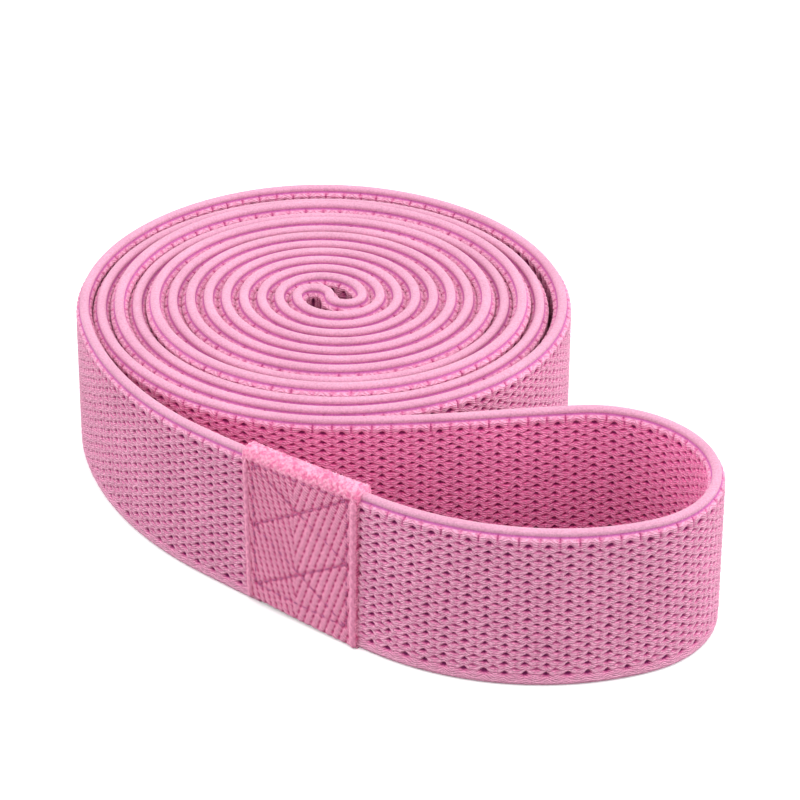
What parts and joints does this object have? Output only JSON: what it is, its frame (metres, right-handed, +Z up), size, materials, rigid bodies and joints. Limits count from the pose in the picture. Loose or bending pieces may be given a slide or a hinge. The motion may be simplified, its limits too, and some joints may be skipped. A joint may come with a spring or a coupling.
{
  "type": "resistance band",
  "caption": "Fabric loop resistance band of pink knitted elastic webbing, rolled up double, with one loop end left open and a quilted sewn patch over the join.",
  "frame": {"origin": "on the axis of the coil where the coil rests on the table", "axes": "+Z up along the width of the webbing, +X towards the nose of the free loop, -Y towards the front wall of the loop"},
  "size_m": [0.1265, 0.1422, 0.0332],
  "materials": {
    "knit_webbing": "matte",
    "rubber_thread": "matte",
    "patch_cloth": "matte",
    "sewing_thread": "satin"
  },
  "bodies": {
    "coil": {"coil_webbing": "knit_webbing", "coil_rubber": "rubber_thread"},
    "wrap_1": {"wrap_1_inner_rubber": "rubber_thread", "wrap_1_inner_webbing": "knit_webbing", "wrap_1_outer_rubber": "rubber_thread", "wrap_1_outer_webbing": "knit_webbing"},
    "wrap_2": {"wrap_2_inner_rubber": "rubber_thread", "wrap_2_inner_webbing": "knit_webbing", "wrap_2_outer_rubber": "rubber_thread", "wrap_2_outer_webbing": "knit_webbing"},
    "loop_base": {"front_left_webbing": "knit_webbing", "front_left_rubber": "rubber_thread", "front_right_webbing": "knit_webbing", "front_right_rubber": "rubber_thread", "back_webbing": "knit_webbing", "back_rubber": "rubber_thread", "patch_sleeve": "patch_cloth", "patch_hem_left": "patch_cloth", "patch_hem_right": "patch_cloth", "patch_lap": "patch_cloth", "border_stitch": "sewing_thread", "cross_stitch_upper": "sewing_thread", "cross_stitch_lower": "sewing_thread", "back_bar_top": "sewing_thread", "back_bar_middle": "sewing_thread", "seam_thread": "sewing_thread"},
    "loop_middle": {"front_middle_webbing": "knit_webbing", "front_middle_rubber": "rubber_thread", "back_middle_webbing": "knit_webbing", "back_middle_rubber": "rubber_thread"},
    "loop_end": {"nose_webbing": "knit_webbing", "nose_rubber": "rubber_thread"}
  },
  "joints": [
    {"name": "unroll_1", "type": "hinge", "parent": "coil", "child": "wrap_1", "pos_m": [-0.04464, 0.02602, 0.016], "axis": [0, 0, -1], "range_deg": [0, 15]},
    {"name": "unroll_2", "type": "hinge", "parent": "wrap_1", "child": "wrap_2", "pos_m": [-0.04965, 0.01395, 0.016], "axis": [0, 0, -1], "range_deg": [0, 15]},
    {"name": "unroll_3", "type": "hinge", "parent": "wrap_2", "child": "loop_base", "pos_m": [-0.05135, 0.001, 0.016], "axis": [0, 0, -1], "range_deg": [0, 15]},
    {"name": "loop_stretch", "type": "slide", "parent": "loop_base", "child": "loop_middle", "axis": [1, 0, 0], "range_m": [0, 0.024]},
    {"name": "nose_turn", "type": "hinge", "parent": "loop_middle", "child": "loop_end", "pos_m": [0.052, -0.09118, 0], "axis": [1, 0, 0], "range_deg": [0, 25]}
  ],
  "couplings": [
    {"joint": "unroll_2", "follows": "unroll_1", "ratio": 1},
    {"joint": "unroll_3", "follows": "unroll_1", "ratio": 1}
  ]
}
